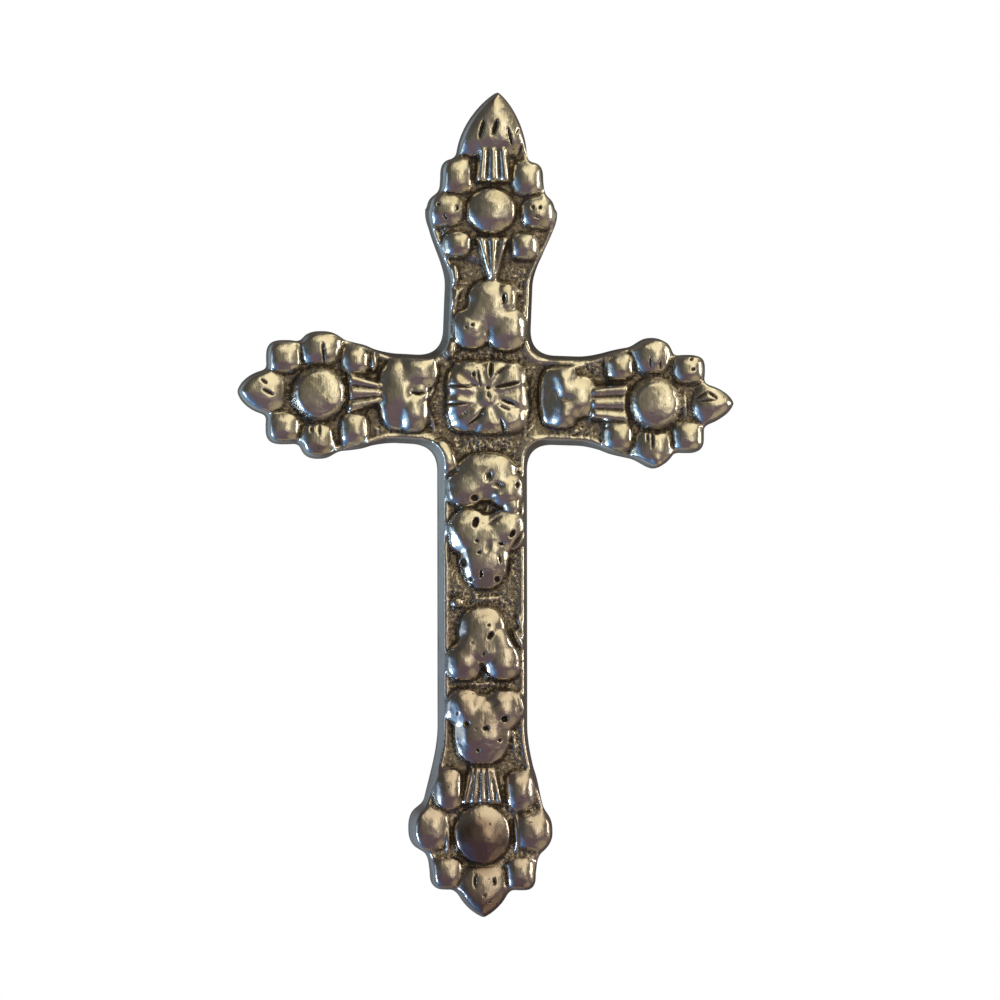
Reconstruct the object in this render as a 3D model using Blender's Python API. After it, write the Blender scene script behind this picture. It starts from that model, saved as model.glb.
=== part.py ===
"""Cast metal wall cross, built as the one solid casting that it is.

The flat back lies in the plane y = 0 and the carved face looks along -Y, with +Z up. The origin is
on the back, at the middle of the crossing. Each arm ends in a rosette: a dome with petals round it
and a pointed finial. Tulips fill the arms, and a square flower fills the crossing. The back has a
pocket near the top that hangs over a nail.

The shape is one relief: a mesh cut to the cross's outline, raised to the height of the carving.
"""

import math
from collections import namedtuple

import bmesh
import bpy
import numpy as np
from mathutils import Matrix

mm = 0.001

# Depths, measured forward from the back
FIELD_DEPTH = 10.0 * mm
ARM_DRAFT = 2.0 * mm
ROSETTE_DRAFT = 0.5 * mm
ROSETTE_REACH = 24.0 * mm
ARMS_START = 31.0 * mm
EDGE_ROUND = 1.0 * mm
EDGE_DROP = 0.6 * mm

# Heights of the carving above the field
DOME_RISE = 6.0 * mm
PETAL_RISE = 4.4 * mm
FINIAL_RISE = 4.6 * mm
TULIP_RISE = 4.6 * mm
FLOWER_RISE = 3.8 * mm
FAN_RISE = 3.4 * mm

# How far in from its edge a raised form goes on rising
DOME_SHOULDER = 9.0 * mm
PETAL_SHOULDER = 5.0 * mm
FINIAL_SHOULDER = 8.0 * mm
TULIP_SHOULDER = 6.5 * mm
FLOWER_SHOULDER = 5.0 * mm
FAN_SHOULDER = 2.4 * mm

# How far the finials' tips are from the crossing, and the rosettes' sizes: half their width
TOP_REACH = 122.6 * mm
RIGHT_REACH = 99.4 * mm
FOOT_REACH = 206.8 * mm
LEFT_REACH = 98.8 * mm
TOP_ROSETTE = 26.0 * mm
RIGHT_ROSETTE = 26.0 * mm
FOOT_ROSETTE = 29.6 * mm
LEFT_ROSETTE = 25.4 * mm

# The tulips' size: half their height at most
TULIP_SIZE = 18.0 * mm

# The arms: half their width, and how round the corners between them are
UPPER_HALF = 17.6 * mm
LOWER_HALF = 18.0 * mm
SIDE_HALF = 17.9 * mm
ARM_OVERLAP = 6.0 * mm
CORNER_BLEND = 10.5 * mm

# How softly forms run together: lobes of the outline, the parts of a tulip, a finial's corners
LOBE_BLEND = 3.0 * mm
TULIP_BLEND = 5.0 * mm
FINIAL_BLEND = 9.0 * mm

# The carving was set a little to the left of the outline's own forms
CARVING_SHIFT = 1.0 * mm

# The square flower in the crossing, and the way its grooves run, in degrees from +X
FLOWER_AT = (1.2 * mm, 0.8 * mm)
FLOWER_SIZE = 17.0 * mm
FLOWER_GROOVES = (16, 46, 79, 111, 142, 170, -161, -119, -74, -24)
FLOWER_GROOVE_DEPTH = 1.5 * mm
FLOWER_GROOVE_HALF = 1.5 * mm
FLOWER_EYE = 2.6 * mm

# The pocket in the back that hangs over a nail
POCKET_HEIGHT = 64.0 * mm
POCKET_WIDTH = 9.0 * mm
POCKET_DROP = 12.0 * mm
POCKET_DEPTH = 6.5 * mm
POCKET_UNDERCUT = 1.5 * mm

# Fineness of the mesh
GRID_STEP = 1.0 * mm
KEPT_TRIANGLES = 9300

# A raised oval: where its middle is and half its size each way, in shares of what it is part of.
# Squareness is 2 for an ellipse, less for a lozenge and more for a square with round corners.
Oval = namedtuple("Oval", "out side half_out half_side squareness", defaults=(2.5,))

# The square flower's edge, round its middle, as shares of its size
FLOWER = Oval(0, 0, 0.906, 1, 4.0)

# A rosette. Its heading is the way the finial points, in degrees from +X, and its reach is from
# the crossing to the finial's tip. All else is in shares of its size. Aside is where the dome is,
# to the right of the crossing's middle, and start is where the arm's middle line starts in the
# crossing, to the right of the dome. The ovals, the fans, the flare and the tip are measured from
# the dome's middle: out along the heading, and side to its right.
Rosette = namedtuple(
    "Rosette",
    "heading reach size aside start dome bed tip finial flare petals fans",
)
Finial = namedtuple("Finial", "length half_width side pointed base")
Flare = namedtuple("Flare", "start end half_width")
Fan = namedtuple("Fan", "near far near_half far_half side ridges")

ROSETTES = (
    Rosette(
        heading=90.0,
        reach=TOP_REACH,
        size=TOP_ROSETTE,
        aside=0.108,
        start=-0.115,
        dome=Oval(0, 0, 0.354, 0.385, 2.0),
        bed=0.846,
        tip=(1.831, 0.073),
        finial=Finial(1.077, 0.546, -0.008, 0.82, 0.977),
        flare=Flare(-1.154, -0.038, 0.992),
        petals=(
            Oval(0.515, -0.531, 0.3, 0.262, 3.0),
            Oval(0.485, 0.538, 0.277, 0.238, 3.0),
            Oval(0.015, -0.692, 0.277, 0.308),
            Oval(-0.023, 0.7, 0.262, 0.262),
            Oval(-0.508, -0.508, 0.208, 0.223, 3.0),
            Oval(-0.531, 0.5, 0.215, 0.215, 3.0),
        ),
        fans=(
            Fan(0.446, 0.962, 0.238, 0.185, 0.023, 3),
            Fan(-0.408, -1.038, 0.231, 0.062, 0.015, 3),
        ),
    ),
    Rosette(
        heading=0.0,
        reach=RIGHT_REACH,
        size=RIGHT_ROSETTE,
        aside=0.062,
        start=-0.085,
        dome=Oval(0, 0, 0.392, 0.392, 2.0),
        bed=0.777,
        tip=(1.192, 0),
        finial=Finial(0.615, 0.338, 0.015, 0.62, 0.631),
        flare=Flare(-1.208, -0.246, 0.869),
        petals=(
            Oval(0.508, -0.515, 0.246, 0.238, 3.0),
            Oval(0.492, 0.508, 0.246, 0.254, 3.0),
            Oval(-0.054, -0.715, 0.308, 0.3, 2.2),
            Oval(-0.031, 0.677, 0.323, 0.323, 1.7),
            Oval(-0.538, -0.546, 0.223, 0.208, 3.0),
            Oval(-0.562, 0.5, 0.238, 0.238, 3.0),
        ),
        fans=(
            Fan(-0.423, -0.985, 0.262, 0.215, 0, 3),
        ),
    ),
    Rosette(
        heading=-90.0,
        reach=FOOT_REACH,
        size=FOOT_ROSETTE,
        aside=0.027,
        start=0.007,
        dome=Oval(0, 0, 0.385, 0.365, 2.0),
        bed=0.811,
        tip=(1.135, 0.007),
        finial=Finial(0.507, 0.372, 0.007, 0.8, 0.73),
        flare=Flare(-1.459, 0.095, 0.872),
        petals=(
            Oval(0.52, 0.473, 0.243, 0.243, 3.0),
            Oval(0.527, -0.507, 0.25, 0.203, 3.0),
            Oval(-0.074, 0.709, 0.318, 0.297),
            Oval(-0.027, -0.682, 0.277, 0.264),
            Oval(-0.588, 0.446, 0.304, 0.189, 3.0),
            Oval(-0.561, -0.507, 0.291, 0.196, 3.0),
        ),
        fans=(
            Fan(-0.419, -0.885, 0.243, 0.149, 0, 5),
        ),
    ),
    Rosette(
        heading=180.0,
        reach=LEFT_REACH,
        size=LEFT_ROSETTE,
        aside=0.079,
        start=-0.134,
        dome=Oval(0, 0, 0.402, 0.402, 2.0),
        bed=0.819,
        tip=(1.299, 0.039),
        finial=Finial(0.551, 0.362, 0.031, 0.62, 0.803),
        flare=Flare(-1.213, -0.15, 0.89),
        petals=(
            Oval(0.551, 0.575, 0.299, 0.276, 3.0),
            Oval(0.567, -0.52, 0.291, 0.268, 3.0),
            Oval(-0.016, 0.701, 0.339, 0.291),
            Oval(0.031, -0.717, 0.291, 0.299),
            Oval(-0.559, 0.52, 0.228, 0.228, 3.0),
            Oval(-0.543, -0.543, 0.228, 0.268, 3.0),
        ),
        fans=(
            Fan(-0.457, -0.969, 0.276, 0.142, 0.016, 3),
        ),
    ),
)

# A tulip. Along is how far out its bulb is on an arm, as a share of the way to the arm's dome, and
# its heading is the way its two lobes point, both in degrees from +X. All else is in shares of
# the tulips' size. The lobes are measured from the bulb: out along the heading, and side to its
# right.
Tulip = namedtuple("Tulip", "arm along aside heading bulb right_lobe left_lobe")

TULIPS = (
    Tulip(
        arm=90.0,
        along=0.496,
        aside=0.122,
        heading=-90.0,
        bulb=Oval(0, 0, 0.556, 0.467),
        right_lobe=Oval(0.511, 0.411, 0.422, 0.389),
        left_lobe=Oval(0.522, -0.367, 0.456, 0.422),
    ),
    Tulip(
        arm=180.0,
        along=0.517,
        aside=0.133,
        heading=0.0,
        bulb=Oval(0, 0, 0.378, 0.644),
        right_lobe=Oval(0.311, 0.433, 0.344, 0.4),
        left_lobe=Oval(0.433, -0.444, 0.422, 0.356),
    ),
    Tulip(
        arm=0.0,
        along=0.518,
        aside=-0.056,
        heading=180.0,
        bulb=Oval(-0.022, 0, 0.5, 0.444, 3.0),
        right_lobe=Oval(0.256, 0.322, 0.344, 0.322, 3.0),
        left_lobe=Oval(0.256, -0.344, 0.344, 0.322, 3.0),
    ),
    Tulip(
        arm=-90.0,
        along=0.179,
        aside=-0.033,
        heading=-90.0,
        bulb=Oval(0, 0, 0.511, 0.633),
        right_lobe=Oval(0.267, 0.467, 0.367, 0.378),
        left_lobe=Oval(0.278, -0.456, 0.378, 0.367),
    ),
    Tulip(
        arm=-90.0,
        along=0.350,
        aside=-0.022,
        heading=90.0,
        bulb=Oval(0, 0, 0.811, 0.5),
        right_lobe=Oval(0.467, 0.456, 0.433, 0.411),
        left_lobe=Oval(0.422, -0.356, 0.5, 0.422),
    ),
    Tulip(
        arm=-90.0,
        along=0.546,
        aside=0.044,
        heading=-90.0,
        bulb=Oval(0, 0, 0.644, 0.511, 2.5),
        right_lobe=Oval(0.567, 0.4, 0.389, 0.367),
        left_lobe=Oval(0.578, -0.456, 0.378, 0.378),
    ),
    Tulip(
        arm=-90.0,
        along=0.760,
        aside=0.044,
        heading=90.0,
        bulb=Oval(0, 0, 0.756, 0.6),
        right_lobe=Oval(0.456, 0.456, 0.422, 0.389),
        left_lobe=Oval(0.5, -0.389, 0.4, 0.367),
    ),
)


def blend_max(a, b, width):
    """The larger of two fields, with the crease between them filled over this width."""
    near = np.maximum(width - np.abs(a - b), 0.0)
    return np.maximum(a, b) + near * near / (4.0 * width)


def turned(x, z, at, heading):
    """The place (x, z) seen from a point at, as (out along the heading, side to its right)."""
    angle = math.radians(heading)
    dx, dz = x - at[0], z - at[1]
    out = dx * math.cos(angle) + dz * math.sin(angle)
    side = dx * math.sin(angle) - dz * math.cos(angle)
    return out, side


def inside_oval(out, side, oval, size):
    """How far inside an oval a point is, measured along the ray from its middle."""
    from_out = out / size - oval.out
    from_side = side / size - oval.side
    power = np.abs(from_out / oval.half_out) ** oval.squareness
    power = power + np.abs(from_side / oval.half_side) ** oval.squareness
    share = np.maximum(power ** (1.0 / oval.squareness), 1e-6)
    reach = np.maximum(np.hypot(from_out, from_side), 1e-6) / share
    return (1.0 - share) * reach * size


def inside_finial(out, side, rosette):
    """How far inside a rosette's pointed finial a point is."""
    finial = rosette.finial
    from_tip = rosette.tip[0] - out / rosette.size
    share = np.clip(from_tip / finial.length, 1e-4, 1.0)
    middle = finial.side + (rosette.tip[1] - finial.side) * (1.0 - share) ** 2
    profile = 1.0 - (1.0 - share) ** 2
    width = finial.half_width * profile**finial.pointed
    slope = finial.pointed * width / profile * 2.0 * (1.0 - share) / finial.length
    across = (width - np.abs(side / rosette.size - middle)) / np.sqrt(1.0 + slope * slope)
    return across * rosette.size


def arm_point(heading, out, side):
    """The point this far out along an arm and this far to its right, from the crossing."""
    angle = math.radians(heading)
    return (
        out * math.cos(angle) + side * math.sin(angle),
        out * math.sin(angle) - side * math.cos(angle),
    )


def dome_reach(rosette):
    return rosette.reach - rosette.tip[0] * rosette.size


def rosette_frame(x, z, rosette):
    dome_at = arm_point(rosette.heading, dome_reach(rosette), rosette.aside * rosette.size)
    return turned(x, z, dome_at, rosette.heading)


def inside_arm(x, z, rosette, half_width):
    """How far inside one arm a point is. The arm runs from the crossing to its dome."""
    out, side = rosette_frame(x, z, rosette)
    reach = dome_reach(rosette)
    flare = rosette.flare
    share = np.clip((out / rosette.size - flare.start) / (flare.end - flare.start), 0.0, 1.0)
    widening = share * share * (3.0 - 2.0 * share)
    middle = rosette.start * rosette.size * np.clip(-out / reach, 0.0, 1.0)
    width = half_width + (flare.half_width * rosette.size - half_width) * widening
    ends = np.minimum(-out, out + reach + ARM_OVERLAP)
    return np.minimum(width - np.abs(side - middle), ends)


def inside_outline(x, z):
    """How far inside the outline of the back a point is: 0 on the outline, less outside it."""
    upper, right, lower, left = ROSETTES
    upright = np.maximum(
        inside_arm(x, z, upper, UPPER_HALF), inside_arm(x, z, lower, LOWER_HALF)
    )
    beam = np.maximum(
        inside_arm(x, z, left, SIDE_HALF), inside_arm(x, z, right, SIDE_HALF)
    )
    inside = blend_max(upright, beam, CORNER_BLEND)
    for rosette in ROSETTES:
        out, side = rosette_frame(x, z, rosette)
        for petal in rosette.petals:
            lobe = inside_oval(out, side, petal, rosette.size)
            inside = blend_max(inside, lobe, LOBE_BLEND)
        bed = rosette.bed * rosette.size - np.hypot(out, side)
        inside = blend_max(inside, bed, LOBE_BLEND)
        point = np.minimum(inside_finial(out, side, rosette), out)
        inside = blend_max(inside, point, LOBE_BLEND)
    return inside


def inside_face(x, z):
    """How far inside the carved face's own edge a point is. The wall leans out from there."""
    from_dome = np.full_like(x, ARMS_START)
    for rosette in ROSETTES:
        out, side = rosette_frame(x, z, rosette)
        from_dome = np.minimum(from_dome, np.hypot(np.minimum(out, 0.0), side))
    share = np.clip((from_dome - ROSETTE_REACH) / (ARMS_START - ROSETTE_REACH), 0.0, 1.0)
    draft = ROSETTE_DRAFT + (ARM_DRAFT - ROSETTE_DRAFT) * share
    return inside_outline(x, z) - draft


def raised(inside, rise, shoulder, fullness=2.2):
    """The height of a rounded form over its edge: it climbs over the shoulder, then levels out."""
    share = np.clip(inside / shoulder, 0.0, 1.0)
    return rise * (1.0 - (1.0 - share) ** fullness) ** 0.75


def groove(distance, half_width, depth):
    """A rounded groove: how deep it is at this distance from its middle line."""
    share = np.clip(np.abs(distance) / half_width, 0.0, 1.0)
    return depth * (1.0 - share * share) ** 2


def fan_relief(out, side, fan, size):
    """The height of a fan over the field: ridges side by side, drawn together at its far end."""
    way = math.copysign(1.0, fan.far - fan.near)
    along = (out / size - fan.near) * way
    length = abs(fan.far - fan.near)
    half = fan.near_half + (fan.far_half - fan.near_half) * along / length
    half = np.maximum(half, 0.02)
    across = (side / size - fan.side) / half
    inside = np.minimum(half * (1.0 - np.abs(across)), np.minimum(along, length - along))
    ridge = np.abs(np.sin(0.5 * math.pi * fan.ridges * (across + 1.0)))
    return raised(inside * size, FAN_RISE, FAN_SHOULDER) * (0.6 + 0.4 * ridge)


def rosette_relief(x, z, rosette, room):
    """The height of a rosette's carving over the field. Room is how far inside the face it is."""
    size = rosette.size
    out, side = rosette_frame(x, z, rosette)
    base = out - (rosette.tip[0] - rosette.finial.base) * size
    point = -blend_max(-inside_finial(out, side, rosette), -base, FINIAL_BLEND)
    height = raised(np.minimum(point, room), FINIAL_RISE, FINIAL_SHOULDER)
    for petal in rosette.petals:
        inside = np.minimum(inside_oval(out, side, petal, size), room)
        height = np.maximum(height, raised(inside, PETAL_RISE, PETAL_SHOULDER))
    for fan in rosette.fans:
        height = np.maximum(height, fan_relief(out, side, fan, size))
    inside = inside_oval(out, side, rosette.dome, size)
    return np.maximum(height, raised(inside, DOME_RISE, DOME_SHOULDER, 2.6))


def tulip_relief(x, z, tulip):
    """The height of a tulip over the field: a bulb with two lobes and a cleft between them."""
    rosette = next(r for r in ROSETTES if r.heading == tulip.arm)
    along = tulip.along * dome_reach(rosette)
    at = arm_point(tulip.arm, along, tulip.aside * TULIP_SIZE)
    out, side = turned(x, z, at, tulip.heading)
    bulb = inside_oval(out, side, tulip.bulb, TULIP_SIZE)
    right = inside_oval(out, side, tulip.right_lobe, TULIP_SIZE)
    left = inside_oval(out, side, tulip.left_lobe, TULIP_SIZE)
    right = blend_max(bulb, right, TULIP_BLEND)
    left = blend_max(bulb, left, TULIP_BLEND)
    return raised(np.maximum(right, left), TULIP_RISE, TULIP_SHOULDER)


def flower_relief(x, z):
    """The height of the square flower over the field, with grooves that run out from its eye."""
    out, side = turned(x, z, FLOWER_AT, 90.0)
    inside = inside_oval(out, side, FLOWER, FLOWER_SIZE)
    height = raised(inside, FLOWER_RISE, FLOWER_SHOULDER)
    starts = np.clip((np.hypot(out, side) - FLOWER_EYE) / FLOWER_EYE, 0.0, 1.0)
    for heading in FLOWER_GROOVES:
        ahead, across = turned(x, z, FLOWER_AT, heading)
        cut = groove(across, FLOWER_GROOVE_HALF, FLOWER_GROOVE_DEPTH) * starts
        height = height - np.where(ahead > 0.0, cut, 0.0)
    return np.maximum(height, 0.0)


def face_height(x, z):
    """How far the carved face stands forward of the back."""
    room = inside_face(x, z)
    rounding = 1.0 - np.clip(room / EDGE_ROUND, 0.0, 1.0)
    height = FIELD_DEPTH - EDGE_DROP * rounding * rounding
    carved_x = x + CARVING_SHIFT
    relief = flower_relief(carved_x, z)
    for rosette in ROSETTES:
        relief = np.maximum(relief, rosette_relief(carved_x, z, rosette, room))
    for tulip in TULIPS:
        relief = np.maximum(relief, tulip_relief(carved_x, z, tulip))
    return height + relief


def moved_to_edge(points, inside):
    """The points (x, z) moved square to an edge until they are on it. Inside is its field."""
    probe = 0.02 * mm
    for _ in range(8):
        x, z = points[:, 0], points[:, 1]
        here = inside(x, z)
        slope_x = (inside(x + probe, z) - here) / probe
        slope_z = (inside(x, z + probe) - here) / probe
        step = here / np.maximum(slope_x**2 + slope_z**2, 0.25)
        points = points - np.stack([slope_x * step, slope_z * step], axis=1)
    return points


def places(verts):
    return np.array([(v.co.x, v.co.z) for v in verts])


def outline_box():
    """The lowest and highest x and z that the outline can reach: the finials' tips."""
    tips = [arm_point(r.heading, r.reach, 0.0) for r in ROSETTES]
    xs, zs = zip(*tips)
    return min(xs), max(xs), min(zs), max(zs)


def cut_grid():
    """A flat mesh over the face: a grid with its rim moved onto the face's own outline."""
    low_x, high_x, low_z, high_z = outline_box()
    columns = round((high_x - low_x) / GRID_STEP) + 2
    rows = round((high_z - low_z) / GRID_STEP) + 2
    size = Matrix.Diagonal((columns * GRID_STEP / 2, rows * GRID_STEP / 2, 1, 1))
    middle = Matrix.Translation(((low_x + high_x) / 2, 0, (low_z + high_z) / 2))
    upright = Matrix.Rotation(math.radians(90), 4, "X")
    mesh = bmesh.new()
    bmesh.ops.create_grid(
        mesh, x_segments=columns, y_segments=rows, size=1, matrix=middle @ upright @ size
    )
    centres = np.array([f.calc_center_median()[:] for f in mesh.faces])
    inside = inside_face(centres[:, 0], centres[:, 2])
    outer = [f for f, d in zip(mesh.faces, inside) if d < 0.0]
    bmesh.ops.delete(mesh, geom=outer, context="FACES")
    for _ in range(8):
        rim = [v for v in mesh.verts if v.is_boundary]
        for vert, place in zip(rim, moved_to_edge(places(rim), inside_face)):
            vert.co.x, vert.co.z = place
        bmesh.ops.smooth_vert(
            mesh, verts=mesh.verts, factor=0.5, use_axis_x=True, use_axis_z=True
        )
    rim = [v for v in mesh.verts if v.is_boundary]
    for vert, place in zip(rim, moved_to_edge(places(rim), inside_face)):
        vert.co.x, vert.co.z = place
    return mesh


def cast_cross():
    """The casting: the carved face, the drafted wall round it and the flat back."""
    mesh = cut_grid()
    face = list(mesh.verts)
    heights = face_height(*places(face).T)
    front = list(mesh.faces)
    copied = bmesh.ops.extrude_face_region(mesh, geom=front, use_keep_orig=True)["geom"]
    back = {g for g in copied if isinstance(g, bmesh.types.BMFace)}
    walls = set(mesh.faces) - set(front) - back
    copies = [g for g in copied if isinstance(g, bmesh.types.BMVert)]
    foot = [v for v in copies if not walls.isdisjoint(v.link_faces)]
    for vert, place in zip(foot, moved_to_edge(places(foot), inside_outline)):
        vert.co.x, vert.co.z = place
    for vert, height in zip(face, heights):
        vert.co.y = -height
    bmesh.ops.recalc_face_normals(mesh, faces=mesh.faces)
    return mesh


def pocket_cutter():
    """The nail pocket's shape: an upright slot whose top leans up into the metal."""
    mesh = bmesh.new()
    bmesh.ops.create_cube(mesh, size=1)
    proud = 1.0 * mm
    for vert in mesh.verts:
        deep = vert.co.y < 0
        high = vert.co.z > 0
        vert.co.x *= POCKET_WIDTH
        vert.co.y = -POCKET_DEPTH if deep else proud
        vert.co.z = POCKET_HEIGHT + (0.0 if high else -POCKET_DROP)
        if high and deep:
            vert.co.z += POCKET_UNDERCUT
    upright = [e for e in mesh.edges if abs(e.verts[0].co.y - e.verts[1].co.y) > proud]
    bmesh.ops.bevel(
        mesh,
        geom=upright,
        offset=POCKET_WIDTH * 0.3,
        segments=3,
        profile=0.5,
        affect="EDGES",
        material=-1,
    )
    return mesh


def metal():
    """Polished cast white metal, with the warm tone of its room on it."""
    material = bpy.data.materials.new("cast_metal")
    material.use_nodes = True
    shader = material.node_tree.nodes["Principled BSDF"]
    shader.inputs["Base Color"].default_value = (0.50, 0.46, 0.38, 1.0)
    shader.inputs["Metallic"].default_value = 1.0
    shader.inputs["Roughness"].default_value = 0.28
    return material


def add_object(name, mesh, material=None):
    data = bpy.data.meshes.new(name)
    mesh.to_mesh(data)
    mesh.free()
    if material:
        data.materials.append(material)
    made = bpy.data.objects.new(name, data)
    bpy.context.scene.collection.objects.link(made)
    return made


def main():
    for old in list(bpy.data.objects):
        bpy.data.objects.remove(old)

    cutter = add_object("pocket_cutter", pocket_cutter())
    cutter.hide_render = True
    cutter.display_type = "WIRE"

    cross = add_object("cross", cast_cross(), metal())
    cross.data.shade_smooth()
    triangles = sum(len(face.vertices) - 2 for face in cross.data.polygons)
    thin_out = cross.modifiers.new("thin_out", "DECIMATE")
    thin_out.ratio = min(1.0, KEPT_TRIANGLES / triangles)
    pocket = cross.modifiers.new("nail_pocket", "BOOLEAN")
    pocket.operation = "DIFFERENCE"
    pocket.object = cutter


main()
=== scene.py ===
"""The looks of a cast metal wall cross, 329 mm tall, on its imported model.

Everything is in metres. The flat back lies in the plane y = 0, the carved face looks along -Y, and
the origin is on the back at the middle of the crossing. The casting is one mesh: a fine grid cut to
the face's outline, raised to the height of the carving, with a drafted wall and a flat back.
"""

import math
from collections import namedtuple

import bmesh
import bpy
import numpy as np
from mathutils import Matrix, Vector, noise


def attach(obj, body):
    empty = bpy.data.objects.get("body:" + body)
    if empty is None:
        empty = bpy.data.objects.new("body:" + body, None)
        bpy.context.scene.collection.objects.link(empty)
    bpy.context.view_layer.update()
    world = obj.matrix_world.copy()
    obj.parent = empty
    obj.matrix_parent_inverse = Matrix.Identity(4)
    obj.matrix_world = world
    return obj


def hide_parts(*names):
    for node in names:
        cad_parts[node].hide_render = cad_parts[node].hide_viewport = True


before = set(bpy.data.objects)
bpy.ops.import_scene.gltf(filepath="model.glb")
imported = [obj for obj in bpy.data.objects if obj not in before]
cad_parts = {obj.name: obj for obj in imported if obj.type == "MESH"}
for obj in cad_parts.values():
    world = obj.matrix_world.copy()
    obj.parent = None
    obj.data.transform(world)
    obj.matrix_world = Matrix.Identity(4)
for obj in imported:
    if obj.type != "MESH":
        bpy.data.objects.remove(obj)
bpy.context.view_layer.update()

# ---- The casting's outline ----
# The cross is cast in one piece. Four arms run out from the crossing, and each ends in a rosette:
# a dome with petals round it and a pointed finial. The wall leans out from the face to the back.

mm = 0.001
ARM_DRAFT = 2.0 * mm
ROSETTE_DRAFT = 0.5 * mm
ROSETTE_REACH = 24.0 * mm
ARMS_START = 31.0 * mm
# How far the finials' tips are from the crossing, and the rosettes' sizes: half their width
TOP_REACH = 122.6 * mm
RIGHT_REACH = 99.4 * mm
FOOT_REACH = 206.8 * mm
LEFT_REACH = 98.8 * mm
TOP_ROSETTE = 26.0 * mm
RIGHT_ROSETTE = 26.0 * mm
FOOT_ROSETTE = 29.6 * mm
LEFT_ROSETTE = 25.4 * mm

# The arms: half their width, and how round the corners between them are
UPPER_HALF = 17.6 * mm
LOWER_HALF = 18.0 * mm
SIDE_HALF = 17.9 * mm
ARM_OVERLAP = 6.0 * mm
CORNER_BLEND = 10.5 * mm

# How softly forms run together: lobes of the outline, the parts of a tulip, a finial's corners
LOBE_BLEND = 3.0 * mm
FINIAL_BLEND = 9.0 * mm

# A raised oval: where its middle is and half its size each way, in shares of what it is part of.
# Squareness is 2 for an ellipse, less for a lozenge and more for a square with round corners.
Oval = namedtuple("Oval", "out side half_out half_side squareness", defaults=(2.5,))

# A rosette. Its heading is the way the finial points, in degrees from +X, and its reach is from
# the crossing to the finial's tip. All else is in shares of its size. Aside is where the dome is,
# to the right of the crossing's middle, and start is where the arm's middle line starts in the
# crossing, to the right of the dome. The ovals, the fans, the flare and the tip are measured from
# the dome's middle: out along the heading, and side to its right.
Rosette = namedtuple(
    "Rosette",
    "heading reach size aside start dome bed tip finial flare petals fans",
)
Finial = namedtuple("Finial", "length half_width side pointed base")
Flare = namedtuple("Flare", "start end half_width")
Fan = namedtuple("Fan", "near far near_half far_half side ridges")

ROSETTES = (
    Rosette(
        heading=90.0,
        reach=TOP_REACH,
        size=TOP_ROSETTE,
        aside=0.108,
        start=-0.115,
        dome=Oval(0, 0, 0.354, 0.385, 2.0),
        bed=0.846,
        tip=(1.831, 0.073),
        finial=Finial(1.077, 0.546, -0.008, 0.82, 0.977),
        flare=Flare(-1.154, -0.038, 0.992),
        petals=(
            Oval(0.515, -0.531, 0.3, 0.262, 3.0),
            Oval(0.485, 0.538, 0.277, 0.238, 3.0),
            Oval(0.015, -0.692, 0.277, 0.308),
            Oval(-0.023, 0.7, 0.262, 0.262),
            Oval(-0.508, -0.508, 0.208, 0.223, 3.0),
            Oval(-0.531, 0.5, 0.215, 0.215, 3.0),
        ),
        fans=(
            Fan(0.446, 0.962, 0.238, 0.185, 0.023, 3),
            Fan(-0.408, -1.038, 0.231, 0.062, 0.015, 3),
        ),
    ),
    Rosette(
        heading=0.0,
        reach=RIGHT_REACH,
        size=RIGHT_ROSETTE,
        aside=0.062,
        start=-0.085,
        dome=Oval(0, 0, 0.392, 0.392, 2.0),
        bed=0.777,
        tip=(1.192, 0),
        finial=Finial(0.615, 0.338, 0.015, 0.62, 0.631),
        flare=Flare(-1.208, -0.246, 0.869),
        petals=(
            Oval(0.508, -0.515, 0.246, 0.238, 3.0),
            Oval(0.492, 0.508, 0.246, 0.254, 3.0),
            Oval(-0.054, -0.715, 0.308, 0.3, 2.2),
            Oval(-0.031, 0.677, 0.323, 0.323, 1.7),
            Oval(-0.538, -0.546, 0.223, 0.208, 3.0),
            Oval(-0.562, 0.5, 0.238, 0.238, 3.0),
        ),
        fans=(
            Fan(-0.423, -0.985, 0.262, 0.215, 0, 3),
        ),
    ),
    Rosette(
        heading=-90.0,
        reach=FOOT_REACH,
        size=FOOT_ROSETTE,
        aside=0.027,
        start=0.007,
        dome=Oval(0, 0, 0.385, 0.365, 2.0),
        bed=0.811,
        tip=(1.135, 0.007),
        finial=Finial(0.507, 0.372, 0.007, 0.8, 0.73),
        flare=Flare(-1.459, 0.095, 0.872),
        petals=(
            Oval(0.52, 0.473, 0.243, 0.243, 3.0),
            Oval(0.527, -0.507, 0.25, 0.203, 3.0),
            Oval(-0.074, 0.709, 0.318, 0.297),
            Oval(-0.027, -0.682, 0.277, 0.264),
            Oval(-0.588, 0.446, 0.304, 0.189, 3.0),
            Oval(-0.561, -0.507, 0.291, 0.196, 3.0),
        ),
        fans=(
            Fan(-0.419, -0.885, 0.243, 0.149, 0, 5),
        ),
    ),
    Rosette(
        heading=180.0,
        reach=LEFT_REACH,
        size=LEFT_ROSETTE,
        aside=0.079,
        start=-0.134,
        dome=Oval(0, 0, 0.402, 0.402, 2.0),
        bed=0.819,
        tip=(1.299, 0.039),
        finial=Finial(0.551, 0.362, 0.031, 0.62, 0.803),
        flare=Flare(-1.213, -0.15, 0.89),
        petals=(
            Oval(0.551, 0.575, 0.299, 0.276, 3.0),
            Oval(0.567, -0.52, 0.291, 0.268, 3.0),
            Oval(-0.016, 0.701, 0.339, 0.291),
            Oval(0.031, -0.717, 0.291, 0.299),
            Oval(-0.559, 0.52, 0.228, 0.228, 3.0),
            Oval(-0.543, -0.543, 0.228, 0.268, 3.0),
        ),
        fans=(
            Fan(-0.457, -0.969, 0.276, 0.142, 0.016, 3),
        ),
    ),
)


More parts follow.
